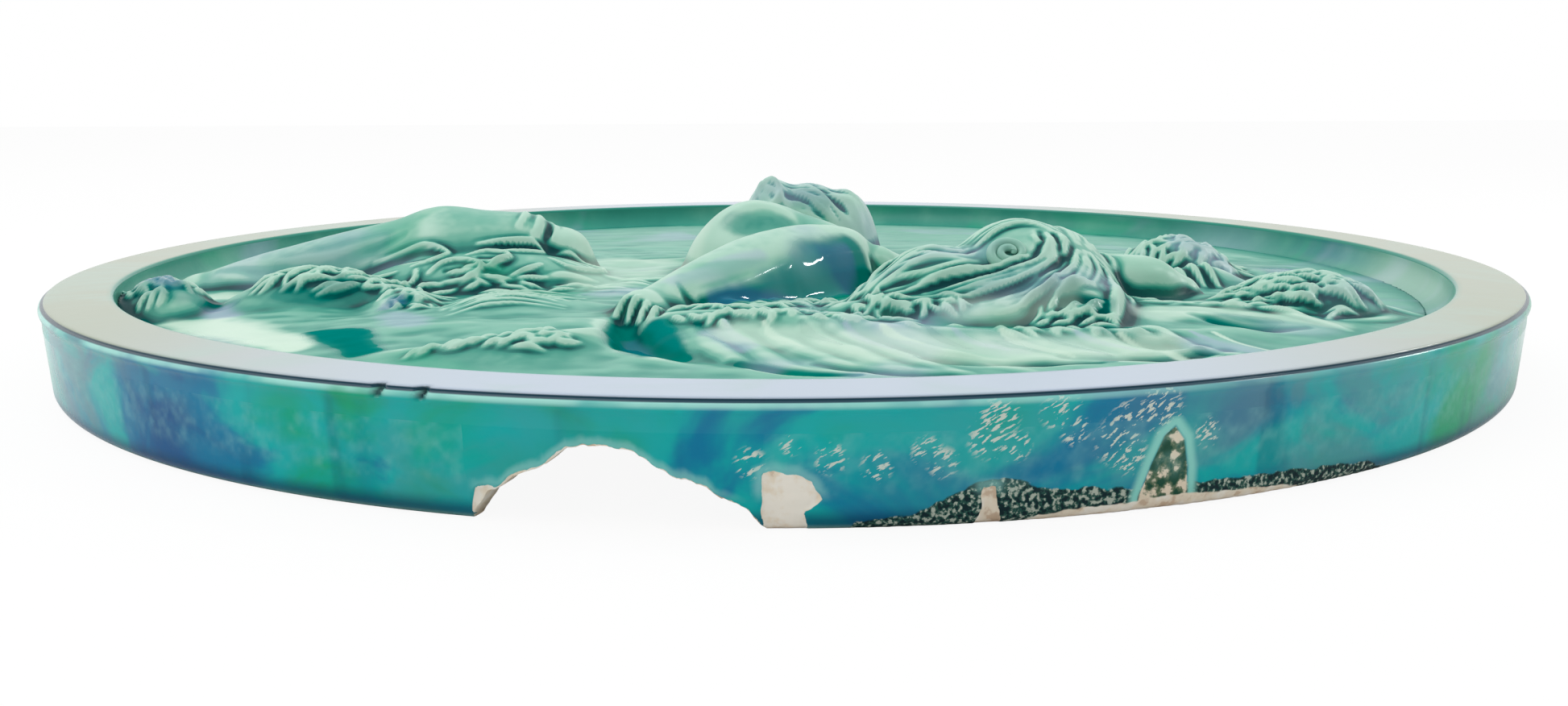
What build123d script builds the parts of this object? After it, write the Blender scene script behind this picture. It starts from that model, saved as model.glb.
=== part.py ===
"""Round glazed ceramic wall plaque with a sea and swimmers in relief, in millimetres.

The plaque is built the way a press-moulding workshop builds it: an outer wall ring, a flat rim band, a
coved ring and a field slab are joined into a shallow shell that is hollow behind.  The sea is laid on the
slab in six pressed segments, and every limb, head, lock of hair and crest of foam is a flat-backed relief
piece that stands on the slab and is let into the sea around it.

Frame: +Z is up out of the relief, z = 0 is the plane that the foot of the wall rests on, the origin is on
the plaque's axis, and -Y is the edge with the broken-out arch.
"""

import os
from math import cos, exp, hypot, pi, radians, sin

from build123d import *

# ---------------------------------------------------------------- driving dimensions
PLAQUE_RADIUS = 250.0  # outside of the rim
PLAQUE_HEIGHT = 29.0  # foot to rim top
RIM_WIDTH = 21.0  # flat rim, outside to inside
RIM_THICKNESS = 7.5
WALL_THICKNESS = 8.0
WALL_TAPER = 1.2  # how much narrower the foot is than the wall's top, on the radius
LIP_OVERHANG = 0.8  # how far the rim stands out past the wall
RECESS_DEPTH = 10.5  # rim top to the field slab's top
SLAB_THICKNESS = 7.5

RIM_OUTER_ROUND = 2.5
RIM_LOWER_ROUND = 0.6
RIM_INNER_ROUND = 1.2
FOOT_OUTER_ROUND = 3.5
FOOT_INNER_ROUND = 1.5

# The arch that is broken out of the foot, seen from outside.
ARCH_BEARING = -8.9  # degrees round from -Y, anticlockwise from above
ARCH_OUTLINE = [  # along the wall, up from the foot
    (-31.0, 0.0),
    (-27.5, 6.0),
    (-14.4, 13.4),
    (-4.2, 17.6),
    (4.0, 17.4),
    (16.6, 11.1),
    (30.5, 4.2),
    (33.2, 0.0),
]

# The sea's surface, above the field slab.
SEA_EDGE_DEPTH = 1.6  # at the foot of the cove
SEA_DEPTH = 4.2  # mean depth over the field
SWELL_HEIGHT = 1.1
SWELL_LENGTH = 88.0
FRONT_SWELL_HEIGHT = 2.6  # the long wave along the front
FRONT_SWELL_Y = -150.0
FRONT_SWELL_WIDTH = 34.0
SEA_GRID = 25  # surface points along each side
SEA_FIRST_JOINT = 52.0  # bearing of the first joint between segments, in degrees anticlockwise from +X
SEA_SEGMENTS = [  # in order from there
    "sea_back",
    "sea_back_left",
    "sea_front_left",
    "sea_front",
    "sea_front_right",
    "sea_back_right",
]

# The relief is drawn for this field radius, and grows or shrinks with the field.
DRAWN_FIELD_RADIUS = 220.0

# Relief pieces: centre x, centre y, half length, half width, turn in degrees, top above the slab, and how
# much of that height is rounded over.  A piece is let into every piece below it in this list.
RELIEF = {
    "swimmer_upper_arm": (12.0, -46.0, 29.0, 21.0, 40.0, 26.0, 21.0),
    "swimmer_forearm": (-19.0, -94.0, 34.0, 12.0, 52.0, 17.5, 12.0),
    "swimmer_hand": (-43.0, -122.0, 14.0, 10.5, 52.0, 12.0, 8.0),
    "swimmer_back": (-12.0, 6.0, 44.0, 34.0, 25.0, 29.5, 24.0),
    "swimmer_head": (9.0, 62.0, 31.0, 25.0, -12.0, 35.0, 24.0),
    "swimmer_hip": (-114.0, 14.0, 52.0, 34.0, -4.0, 27.5, 23.0),
    "swimmer_leg": (-178.0, -4.0, 40.0, 21.0, 8.0, 17.5, 13.0),
    "hair_curl": (65.0, -102.0, 8.5, 8.5, 0.0, 23.0, 4.0),
    "sleeper_head": (77.0, -78.0, 33.0, 36.0, 0.0, 28.5, 24.0),
    "sleeper_hair": (40.0, -102.0, 34.0, 19.0, 28.0, 19.0, 14.0),
    "sleeper_fringe": (83.0, -130.0, 23.0, 14.0, -8.0, 14.0, 10.0),
    "sleeper_arm": (119.0, -74.0, 20.0, 11.5, -8.0, 17.0, 13.0),
    "far_arm": (144.0, -8.0, 25.0, 17.0, 10.0, 16.0, 12.0),
    "far_fingers": (147.0, -34.0, 17.0, 11.0, 4.0, 10.0, 7.5),
    "foam_right": (168.0, -83.0, 22.0, 15.0, -25.0, 11.5, 8.5),
    "foam_left": (-196.0, -78.0, 15.0, 11.0, -65.0, 10.0, 7.5),
    "foam_tangle": (-153.0, -72.0, 28.0, 19.0, 20.0, 11.0, 8.0),
    "foam_ribbons": (-107.0, -33.0, 45.0, 22.0, 20.0, 14.0, 10.0),
    "spray_fan": (-84.0, -98.0, 30.0, 16.0, 6.0, 8.5, 5.0),
    "crest_middle": (-6.0, -141.0, 40.0, 9.0, -12.0, 10.0, 6.0),
    "crest_left": (-77.0, -163.0, 33.0, 8.5, 12.0, 9.0, 5.5),
    "crest_right": (114.0, -150.0, 34.0, 9.0, 24.0, 8.0, 5.0),
}

# ---------------------------------------------------------------- what follows from them
RIM_INNER_RADIUS = PLAQUE_RADIUS - RIM_WIDTH
RIM_UNDERSIDE = PLAQUE_HEIGHT - RIM_THICKNESS
WALL_TOP_RADIUS = PLAQUE_RADIUS - LIP_OVERHANG
FOOT_RADIUS = WALL_TOP_RADIUS - WALL_TAPER
SLAB_TOP = PLAQUE_HEIGHT - RECESS_DEPTH
SLAB_UNDERSIDE = SLAB_TOP - SLAB_THICKNESS
COVE_RADIUS = RECESS_DEPTH - RIM_INNER_ROUND
FIELD_RADIUS = RIM_INNER_RADIUS - COVE_RADIUS
DRAWING_SCALE = FIELD_RADIUS / DRAWN_FIELD_RADIUS
TALLEST_RELIEF = max(row[5] for row in RELIEF.values())


def ring(face):
    """The solid of a section in the XZ plane, turned once about the plaque's axis."""
    return revolve(Plane.XZ * face, Axis.Z, 360)


def corner_at(sketch, x, y):
    """The section's corner nearest to a point, for rounding."""
    return sorted(sketch.vertices(), key=lambda v: hypot(v.X - x, v.Y - y))[:1]


def wall_ring():
    """The tapered outer wall, with its rounded foot and the arch broken out of it."""
    outline = Polyline(
        (FOOT_RADIUS - WALL_THICKNESS, 0),
        (FOOT_RADIUS, 0),
        (WALL_TOP_RADIUS, RIM_UNDERSIDE),
        (WALL_TOP_RADIUS - WALL_THICKNESS, RIM_UNDERSIDE),
        close=True,
    )
    section = make_face(outline)
    section = fillet(corner_at(section, FOOT_RADIUS, 0), FOOT_OUTER_ROUND)
    section = fillet(corner_at(section, FOOT_RADIUS - WALL_THICKNESS, 0), FOOT_INNER_ROUND)
    arch = extrude(make_face(Polyline(*ARCH_OUTLINE, close=True)), 3 * WALL_THICKNESS, both=True)
    arch = Rot(0, 0, ARCH_BEARING) * Pos(0, -FOOT_RADIUS, 0) * Rot(90, 0, 0) * arch
    return ring(section) - arch


def rim_band():
    """The flat rim, which rests on the wall and stands a little way out past it."""
    outline = Polyline(
        (RIM_INNER_RADIUS, RIM_UNDERSIDE),
        (PLAQUE_RADIUS, RIM_UNDERSIDE),
        (PLAQUE_RADIUS, PLAQUE_HEIGHT),
        (RIM_INNER_RADIUS, PLAQUE_HEIGHT),
        close=True,
    )
    section = make_face(outline)
    section = fillet(corner_at(section, PLAQUE_RADIUS, PLAQUE_HEIGHT), RIM_OUTER_ROUND)
    section = fillet(corner_at(section, PLAQUE_RADIUS, RIM_UNDERSIDE), RIM_LOWER_ROUND)
    section = fillet(corner_at(section, RIM_INNER_RADIUS, PLAQUE_HEIGHT), RIM_INNER_ROUND)
    return ring(section)


def cove_ring():
    """The hollow curve from the rim's inner edge down to the field slab."""
    top = SLAB_TOP + COVE_RADIUS
    middle = COVE_RADIUS * cos(pi / 4)
    sides = [
        ThreePointArc((RIM_INNER_RADIUS, top), (FIELD_RADIUS + middle, top - middle), (FIELD_RADIUS, SLAB_TOP)),
        Polyline(
            (FIELD_RADIUS, SLAB_TOP),
            (FIELD_RADIUS, SLAB_UNDERSIDE),
            (RIM_INNER_RADIUS, RIM_UNDERSIDE),
            (RIM_INNER_RADIUS, top),
        ),
    ]
    return ring(make_face(sides))


def field_slab():
    """The flat clay slab that carries the relief."""
    return Pos(0, 0, SLAB_UNDERSIDE) * extrude(Circle(FIELD_RADIUS), SLAB_THICKNESS)


def on_slab(x, y, turn):
    """Where a relief piece stands, from its place in the drawing."""
    return Pos(x * DRAWING_SCALE, y * DRAWING_SCALE, SLAB_TOP) * Rot(0, 0, turn)


def footprint(x, y, half_length, half_width, turn, top, rounded):
    """A tall column over a relief piece's outline, which cuts it out of what it is let into."""
    outline = Ellipse(half_length * DRAWING_SCALE, half_width * DRAWING_SCALE)
    return on_slab(x, y, turn) * extrude(outline, 2 * TALLEST_RELIEF)


def domed_piece(x, y, half_length, half_width, turn, top, rounded):
    """A flat-backed relief piece: an upright oval side, rounded over to its top."""
    side = (top - rounded) / rounded  # the side's height as a share of the rounded height
    outline = [
        Polyline((0, side + 1), (0, 0), (1, 0), (1, side)),
        ThreePointArc((1, side), (cos(pi / 4), side + sin(pi / 4)), (0, side + 1)),
    ]
    dome = revolve(Plane.XZ * make_face(outline), Axis.Z, 360)
    dome = scale(dome, (half_length * DRAWING_SCALE, half_width * DRAWING_SCALE, rounded))
    return on_slab(x, y, turn) * dome


def relief_pieces():
    """Each relief piece, cut round the ones it is let into and kept inside the field."""
    field = Pos(0, 0, SLAB_TOP) * extrude(Circle(FIELD_RADIUS), 2 * TALLEST_RELIEF)
    pieces, columns = {}, []
    for name, row in RELIEF.items():
        piece = domed_piece(*row) & field
        box = piece.bounding_box()
        for column in columns:
            if box.overlaps(column.bounding_box()):
                piece -= column
        pieces[name] = piece
        columns.append(footprint(*row))
    return pieces, columns


def sea_height(x, y):
    """The sea's surface above the foot: a mean depth that thins to the cove, swells and the front wave."""
    x, y = x / DRAWING_SCALE, y / DRAWING_SCALE
    out = min(1.0, hypot(x, y) / DRAWN_FIELD_RADIUS)
    depth = SEA_EDGE_DEPTH + (SEA_DEPTH - SEA_EDGE_DEPTH) * (1 - out**4)
    swell = SWELL_HEIGHT * sin(2 * pi * (y + 0.35 * x) / SWELL_LENGTH) * (1 - out**4)
    front = FRONT_SWELL_HEIGHT * exp(-(((y - FRONT_SWELL_Y) / FRONT_SWELL_WIDTH) ** 2)) * (1 - out**6)
    return SLAB_TOP + depth + swell + front


def slice_of_field(start, end):
    """A tall wedge with its point on the axis, between two bearings of the field."""
    bearings = [start, (start + end) / 2, end]
    corners = [(2 * FIELD_RADIUS * cos(radians(b)), 2 * FIELD_RADIUS * sin(radians(b))) for b in bearings]
    return extrude(make_face(Polyline((0, 0), *corners, close=True)), 2 * PLAQUE_HEIGHT)


def sea_segments(columns):
    """The sea laid over the slab in segments like slices of a cake, cut out round the relief pieces."""
    reach = 1.06 * FIELD_RADIUS
    steps = [reach * (2 * i / (SEA_GRID - 1) - 1) for i in range(SEA_GRID)]
    surface = Face.make_surface_from_array_of_points([[(x, y, sea_height(x, y)) for x in steps] for y in steps])
    below = Solid.extrude(surface, Vector(0, 0, -2 * SLAB_TOP))
    sea = below & (Pos(0, 0, SLAB_TOP) * extrude(Circle(FIELD_RADIUS), TALLEST_RELIEF))
    sea -= columns
    share = 360 / len(SEA_SEGMENTS)
    joints = [SEA_FIRST_JOINT + share * i for i in range(len(SEA_SEGMENTS))]
    return {name: sea & slice_of_field(start, start + share) for name, start in zip(SEA_SEGMENTS, joints)}


def main():
    os.makedirs("parts", exist_ok=True)
    nodes = {
        "wall_ring": wall_ring(),
        "rim_band": rim_band(),
        "cove_ring": cove_ring(),
        "field_slab": field_slab(),
    }
    pieces, columns = relief_pieces()
    nodes.update(pieces)
    nodes.update(sea_segments(columns))
    for name, shape in nodes.items():
        solids = shape.solids()
        export_step(solids[0] if len(solids) == 1 else Compound(children=solids), f"parts/{name}.step")
        print(name, len(solids), round(sum(s.volume for s in solids)))


main()
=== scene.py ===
"""Looks of the round ceramic relief plaque: a lustre-glazed sea with two swimmers, on a white ground.

Lengths are in millimetres until a mesh is made; the frame's own unit, the metre, is used for everything
that Blender holds.  The relief is one height field over the plaque's plan.  Forms are laid on it and pressed
into it, and it is then cut along the outlines of the CAD pieces into one closed mesh for each of them.
"""

from math import cos, hypot, pi, radians, sin, sqrt

import bpy
import numpy as np
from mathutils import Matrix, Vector
from mathutils.bvhtree import BVHTree


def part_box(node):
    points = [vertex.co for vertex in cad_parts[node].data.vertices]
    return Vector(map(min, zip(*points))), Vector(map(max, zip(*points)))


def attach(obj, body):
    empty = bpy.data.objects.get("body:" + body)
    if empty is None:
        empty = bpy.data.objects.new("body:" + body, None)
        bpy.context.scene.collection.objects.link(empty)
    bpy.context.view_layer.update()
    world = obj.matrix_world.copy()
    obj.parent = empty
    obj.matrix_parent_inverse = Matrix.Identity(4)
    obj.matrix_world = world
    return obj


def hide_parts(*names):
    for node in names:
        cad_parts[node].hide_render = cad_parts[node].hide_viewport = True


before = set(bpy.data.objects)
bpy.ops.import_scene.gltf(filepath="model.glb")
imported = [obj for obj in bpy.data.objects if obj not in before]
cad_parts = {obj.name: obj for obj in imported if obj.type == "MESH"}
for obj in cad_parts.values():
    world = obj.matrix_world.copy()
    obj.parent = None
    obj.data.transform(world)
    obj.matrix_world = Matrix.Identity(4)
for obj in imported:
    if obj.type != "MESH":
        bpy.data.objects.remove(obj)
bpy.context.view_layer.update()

MM = 0.001
STAINS = ["teal", "pale", "blue", "violet"]
GRID_STEP = 0.7  # spacing of the relief's points, mm
GLAZE_DEPTH = 0.5  # how far bare clay lies under the glaze, mm
DEGREE_MM = 4.36  # one degree of bearing along the wall, mm
WAVE_REST = 18.8  # the height that a wave sinks to at its ends, mm
COVE_OVERLAP = 1.6  # how far the relief's cells run on under the cove, mm
SLAB_OVERLAP = 0.3  # how far the relief's pieces reach into the slab, mm
SHARP_ANGLE = 40  # turned surfaces are shaded smooth below this angle, degrees


# ---------------------------------------------------------------- places taken from the frame, in mm
def box_mm(node):
    low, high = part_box(node)
    return np.array(low) / MM, np.array(high) / MM


SHELL = ["wall_ring", "rim_band", "cove_ring", "field_slab"]
RELIEF = [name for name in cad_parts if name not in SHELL]
PLAQUE_RADIUS = box_mm("rim_band")[1][0]
RIM_TOP = box_mm("rim_band")[1][2]
RIM_UNDERSIDE = box_mm("rim_band")[0][2]
RIM_INNER_RADIUS = box_mm("cove_ring")[1][0]
COVE_TOP = box_mm("cove_ring")[1][2]
WALL_TOP_RADIUS = box_mm("wall_ring")[1][0]
FIELD_RADIUS = box_mm("field_slab")[1][0]
SLAB_TOP = box_mm("field_slab")[1][2]
SLAB_UNDERSIDE = box_mm("field_slab")[0][2]
COVE_RADIUS = COVE_TOP - SLAB_TOP


# ---------------------------------------------------------------- curves and noise
def spline(points, per_span=10):
    """A smooth curve through rows of numbers: x, y and whatever changes along the way."""
    p = np.array(points, float)
    p = np.vstack([2 * p[0] - p[1], p, 2 * p[-1] - p[-2]])
    t = np.linspace(0, 1, per_span, endpoint=False)[:, None]
    rows = []
    for a, b, c, d in zip(p, p[1:], p[2:], p[3:]):
        square, cube = 2 * a - 5 * b + 4 * c - d, 3 * b - a - 3 * c + d
        rows.append(0.5 * (2 * b + (c - a) * t + square * t**2 + cube * t**3))
    return np.vstack(rows + [p[-2:-1]])


def smooth_step(low, high, x):
    t = np.clip((x - low) / (high - low), 0, 1)
    return t * t * (3 - 2 * t)


def smooth_max(a, b, blend):
    h = np.clip(0.5 + 0.5 * (a - b) / blend, 0, 1)
    return b + (a - b) * h + blend * h * (1 - h)


def lattice_noise(x, y, size, seed):
    """Smooth noise from -1 to 1 whose bumps are about size across."""
    table = np.random.default_rng(seed).uniform(-1, 1, (256, 256))
    u, v = x / size + 1000, y / size + 1000
    i, j = np.floor(u).astype(int), np.floor(v).astype(int)
    fu, fv = u - i, v - j
    fu, fv = fu * fu * (3 - 2 * fu), fv * fv * (3 - 2 * fv)
    i0, j0, i1, j1 = i % 256, j % 256, (i + 1) % 256, (j + 1) % 256
    near = table[i0, j0] * (1 - fu) + table[i1, j0] * fu
    far = table[i0, j1] * (1 - fu) + table[i1, j1] * fu
    return near * (1 - fv) + far * fv


def rough_noise(x, y, size, seed, octaves=4):
    return sum(lattice_noise(x, y, size / 2**k, seed + k) / 2**k for k in range(octaves)) / 1.6


def blurred(field, sigma):
    """A height field with bumps much smaller than sigma (in grid steps) smoothed away."""
    pad = int(3 * sigma) + 2
    big = np.pad(field, pad, mode="edge")
    fy = np.fft.fftfreq(big.shape[0])[:, None]
    fx = np.fft.rfftfreq(big.shape[1])[None]
    spectrum = np.fft.rfft2(big) * np.exp(-2 * (pi * sigma) ** 2 * (fx**2 + fy**2))
    return np.fft.irfft2(spectrum, big.shape)[pad:-pad, pad:-pad]


# ---------------------------------------------------------------- the clay that the relief is modelled in
class Clay:
    """Heights over a square grid, with the tools that model them."""

    def __init__(self, reach, step):
        self.step = step
        count = int(np.ceil(reach / step))
        self.axis = np.arange(-count, count + 1) * step
        self.x, self.y = np.meshgrid(self.axis, self.axis)
        self.z = np.zeros(self.x.shape)
        self.stains = {name: np.zeros(self.x.shape) for name in STAINS}

    def share(self, x, y, half_length, half_width, turn):
        """One at the middle of an oval, zero on its outline and negative outside."""
        c, s = cos(radians(turn)), sin(radians(turn))
        u = ((self.x - x) * c + (self.y - y) * s) / half_length
        v = ((self.y - y) * c - (self.x - x) * s) / half_width
        return 1 - u * u - v * v

    def window(self, path, margin):
        """The part of the grid within a margin of a path."""
        low, high = path[:, :2].min(0) - margin, path[:, :2].max(0) + margin
        i = np.clip(np.searchsorted(self.axis, [low[0], high[0]]), 0, len(self.axis))
        j = np.clip(np.searchsorted(self.axis, [low[1], high[1]]), 0, len(self.axis))
        return slice(j[0], j[1]), slice(i[0], i[1])

    def nearest(self, path, area):
        """Each point's distance from the path, and the path's other columns where it is nearest."""
        x, y = self.x[area], self.y[area]
        best = np.full(x.shape, 1e9)
        columns = np.zeros(x.shape + (path.shape[1] - 2,))
        for a, b in zip(path, path[1:]):
            dx, dy = b[0] - a[0], b[1] - a[1]
            length = dx * dx + dy * dy + 1e-12
            t = np.clip(((x - a[0]) * dx + (y - a[1]) * dy) / length, 0, 1)
            away = np.hypot(x - a[0] - t * dx, y - a[1] - t * dy)
            closer = away < best
            best[closer] = away[closer]
            columns[closer] = a[2:] + t[closer][:, None] * (b[2:] - a[2:])
        return best, columns

    def hill(self, x, y, half_length, half_width, turn, top, foot, blend=4.0, power=1.0):
        """A rounded hill; a power under 1 makes its sides fuller, over 1 hollower."""
        share = np.clip(self.share(x, y, half_length, half_width, turn), -1, 1)
        shape = np.sign(share) * np.abs(share) ** power
        self.z = smooth_max(self.z, foot + (top - foot) * shape, blend)

    def dent(self, x, y, half_length, half_width, turn, depth):
        """A smooth hollow pressed into the surface."""
        share = np.maximum(self.share(x, y, half_length, half_width, turn), 0)
        self.z -= depth * share**1.5

    def stain(self, name, points, strength):
        """An uneven run of one glaze effect, or of painted shadow, along points of x, y and half width."""
        path = spline(points)
        area = self.window(path, path[:, 2].max() * 1.7)
        away, columns = self.nearest(path, area)
        ragged = 0.35 * rough_noise(self.x[area], self.y[area] * 1.3, 11, 31, 3)
        layer = self.stains[name]
        share = smooth_step(0, 0.8, 1.2 - away / columns[..., 0] + ragged)
        layer[area] = np.maximum(layer[area], strength * share)

    def limb(self, points, blend=3.0, fullness=0.9):
        """A rounded limb along points of x, y, top height and half width."""
        path = spline(points)
        area = self.window(path, path[:, 3].max() * 1.3)
        away, columns = self.nearest(path, area)
        top, half = columns[..., 0], columns[..., 1]
        across = np.clip(away / half, 0, 1.3)
        section = np.where(across < 1, np.sqrt(np.maximum(1 - across**2, 0)), 4 * (1 - across))
        self.z[area] = smooth_max(self.z[area], top - fullness * half * (1 - section), blend)

    def ridges(self, paths, sharp=1.3):
        """Strands laid on the surface, along points of x, y, height above it and half width."""
        layer = np.zeros(self.z.shape)
        for points in paths:
            path = spline(points, 7)
            area = self.window(path, np.abs(path[:, 3]).max() * 1.1)
            away, columns = self.nearest(path, area)
            across = np.clip(away / np.maximum(columns[..., 1], 0.05), 0, 1)
            height = columns[..., 0] * (1 - across**2) ** sharp
            old = layer[area]
            layer[area] = np.where(np.abs(height) > np.abs(old), height, old)
        self.z += layer


def comb(first, last, count, height, half_width, seed, wander=0.0, ends=0.35):
    """Strands that fill the space between two guide curves, thin at their ends, each a little different."""
    rng = np.random.default_rng(seed)
    a, b = spline(first, 4), spline(last, 4)
    n = min(len(a), len(b))
    a = a[np.linspace(0, len(a) - 1, n).astype(int)]
    b = b[np.linspace(0, len(b) - 1, n).astype(int)]
    along = np.linspace(0, 1, n)
    strands = []
    for i in range(count):
        share = (i + rng.uniform(-0.3, 0.3)) / max(count - 1, 1)
        start, stop = rng.uniform(0, 0.12), rng.uniform(0.86, 1.0)
        keep = (along >= start) & (along <= stop)
        line = (a + (b - a) * share)[keep]
        t = np.linspace(0, 1, len(line))
        sway = wander * np.sin(2 * pi * (rng.uniform(0.6, 1.3) * t + rng.uniform()))
        taper = np.clip(np.minimum(t, 1 - t) / ends, 0.25, 1)
        tall = height * rng.uniform(0.6, 1.1) * taper
        wide = half_width * rng.uniform(0.75, 1.15) * (0.55 + 0.45 * taper)
        strands.append(np.column_stack([line[:, 0] + sway * 0.5, line[:, 1] + sway, tall, wide]))
    return strands


def tufts(x, y, half_length, half_width, turn, lean, count, length, height, thick, seed):
    """Short curved strands scattered over an oval, leaning at about one angle."""
    rng = np.random.default_rng(seed)
    c, s = cos(radians(turn)), sin(radians(turn))
    strands = []
    for _ in range(count):
        out, around = sqrt(rng.uniform()), rng.uniform(0, 2 * pi)
        u, v = half_length * out * cos(around), half_width * out * sin(around)
        place = np.array([x + u * c - v * s, y + u * s + v * c])
        angle = radians(lean) + rng.uniform(-0.6, 0.6)
        bend = rng.uniform(-0.5, 0.5)
        stride = length * rng.uniform(0.6, 1.2) / 3
        rows = []
        for taper in (0.35, 1, 0.9, 0.3):
            rows.append([*place, height * taper, thick * (0.5 + 0.5 * taper)])
            place = place + stride * np.array([cos(angle), sin(angle)])
            angle += bend
        strands.append(rows)
    return strands


def strokes(height, half_width, *lines):
    """Strands of one size along lines of x, y points, thin at both ends."""
    strands = []
    for line in lines:
        t = np.linspace(0, 1, len(line))
        taper = np.clip(np.minimum(t, 1 - t) * 4 + 0.3, 0, 1)
        strands.append([(x, y, height * k, half_width * (0.6 + 0.4 * k)) for (x, y), k in zip(line, taper)])
    return strands


def moved(strand, places):
    """Copies of one strand, each set down at its own place."""
    return [[(x + dx, y + dy, height, width) for dx, dy, height, width in strand] for x, y in places]


# ---------------------------------------------------------------- the relief
def lay_sea(clay):
    """Nearly still water at the back, a chop round the figures, and a low swell along the front."""
    x, y = clay.x, clay.y
    radius = np.hypot(x, y)
    out = radius / FIELD_RADIUS
    edge = np.clip(1 - out**9, 0, 1)
    back = smooth_step(40, 110, y)
    chop = rough_noise(x * 0.55, y, 17, 3) * 1.5 + rough_noise(x * 0.4, y, 7, 9) * 0.6
    streaks = rough_noise(x * 0.16 + y * 0.05, y, 13, 21, 2) * 0.4
    clay.z = SLAB_TOP + 0.2 + edge * (3.4 + chop * (1 - 0.8 * back) + streaks)
    up = np.sqrt(np.maximum(COVE_RADIUS**2 - np.maximum(radius - FIELD_RADIUS, 0) ** 2, 0))
    clay.z = np.where(out > 1, COVE_TOP - up - 0.1, clay.z)
    swell = edge * 3.4 * np.exp(-(((y + 118 - 0.1 * x) / 30) ** 2))
    clay.z += swell * smooth_step(-150, -90, x) * (1 - smooth_step(110, 190, x))


def wave_heights(clay, crest, rest, foot, reach, rise, ends):
    """A wave's heights: down its front from the crest, up behind it, and sinking beyond both ends."""
    top = np.interp(clay.x, crest[:, 0], crest[:, 2], rest, rest)
    down = np.interp(clay.x, crest[:, 0], crest[:, 1]) - clay.y
    fall = foot + (top - foot) * np.exp(-np.maximum(down, 0) / reach)
    back = np.maximum(-down, 0)
    wave = np.where(down > 0, fall, top - rise[0] * back - rise[1] * back**2)
    left, right = ends
    inside = smooth_step(*left, clay.x) * (1 - smooth_step(*right, clay.x))
    return WAVE_REST + (wave - WAVE_REST) * inside


def lay_front_wave(clay):
    """The wave that breaks along the front, with its lip, its long face and the hollow at its left end."""
    lip = spline([(-46, -126, 24), (-34, -128, 27.5), (-14, -134, 29), (8, -143, 28.5), (34, -149, 27),
                  (62, -148, 25.5), (92, -149, 25.5), (116, -143, 24.5), (138, -128, 22.5),
                  (156, -112, 20)])
    wave = wave_heights(clay, lip, 19.5, 19.6, 17.0, (0.11, 0.004), ((-52, -40), (120, 158)))
    clay.z = smooth_max(clay.z, wave, 2.0)
    crest = spline([(-118, -160, 21), (-100, -163, 24), (-84, -164, 26), (-68, -161, 27.5),
                    (-54, -152, 27.5), (-47, -144, 26)])
    wave = wave_heights(clay, crest, 19.0, 19.4, 15.0, (0.25, 0), ((-125, -105), (-48, -42)))
    clay.z = smooth_max(clay.z, wave, 1.6)
    hollow = [(-47, -124, -3.0, 5), (-44, -138, -6.0, 9), (-38, -153, -5.5, 10), (-24, -167, -2.5, 9),
              (-6, -177, -0.5, 6)]
    clay.ridges([hollow], 1.5)


def lay_swimmer(clay):
    """The far figure: hip and leg under the drapery, back, head, and the arm that reaches forward."""
    hip = [(-86, 0, 40, 14), (-95, 0, 44.5, 22), (-112, 0, 46, 29), (-130, 0, 47.5, 30),
           (-146, -2, 42.5, 27)]
    leg = [(-162, -4, 39, 24), (-180, -8, 34.5, 20), (-197, -12, 30, 16), (-212, -16, 25, 11)]
    clay.limb(hip + leg, 6, 0.72)
    clay.hill(-10, 2, 28.5, 28, 0, 48.5, 22, 4, 0.62)
    clay.limb([(-10, 3, 48, 20), (6, 2, 44, 18), (20, -6, 39.5, 15), (34, -12, 33, 10)], 4, 0.8)
    clay.hill(8, 52, 29, 24, 0, 51.0, 22, 3, 0.5)
    clay.hill(-4, 50, 17, 22, 0, 54.2, 22, 3, 0.72)
    clay.hill(26, 50, 14, 19, 0, 49.0, 22, 3, 0.6)
    arm = [(32, -24, 35, 10), (24, -26, 41, 15), (9, -38, 44, 18), (-8, -60, 43, 18),
           (-20, -75, 39.5, 16.5)]
    wrist = [(-30, -87, 35.5, 14), (-38, -98, 32, 11.5), (-43, -106, 30.5, 9.5)]
    clay.limb(arm + wrist, 2.0, 1.05)
    clay.hill(-43, -110, 9, 11, 20, 31.5, 22, 2, 0.5)
    clay.limb([(34, -20, 34, 7), (48, -20, 29, 6), (62, -24, 25, 4)], 3, 0.9)


def lay_sleeper(clay):
    """The near figure: a head laid on the water, its long hair, and the arm beyond it."""
    clay.hill(77, -82, 31, 36, 0, 48.2, 22, 4, 0.6)
    clay.hill(84, -110, 20, 27, 0, 36.0, 20, 7, 0.7)
    clay.hill(50, -94, 26, 24, 0, 41.5, 22, 5, 0.55)
    clay.hill(33, -101, 14, 15, 0, 34.5, 22, 4, 0.6)
    clay.limb([(18, -113, 28, 6), (30, -116, 30, 8), (44, -116, 31, 9), (56, -112, 33.5, 10),
               (68, -107, 36, 11)], 3, 0.7)
    clay.limb([(40, -124, 27, 7), (52, -124, 28.5, 9), (64, -122, 30, 10), (76, -120, 31, 10),
               (88, -122, 29, 9)], 3, 0.7)
    clay.limb([(98, -74, 36, 13), (112, -73, 37, 13.5), (122, -73, 35.5, 11), (130, -73, 30, 6)], 2, 1.0)
    clay.hill(144, -8, 26, 19, 10, 35.5, 20, 5, 0.8)
    clay.hill(147, -34, 18, 12, 4, 28.5, 20, 4, 0.9)


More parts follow.
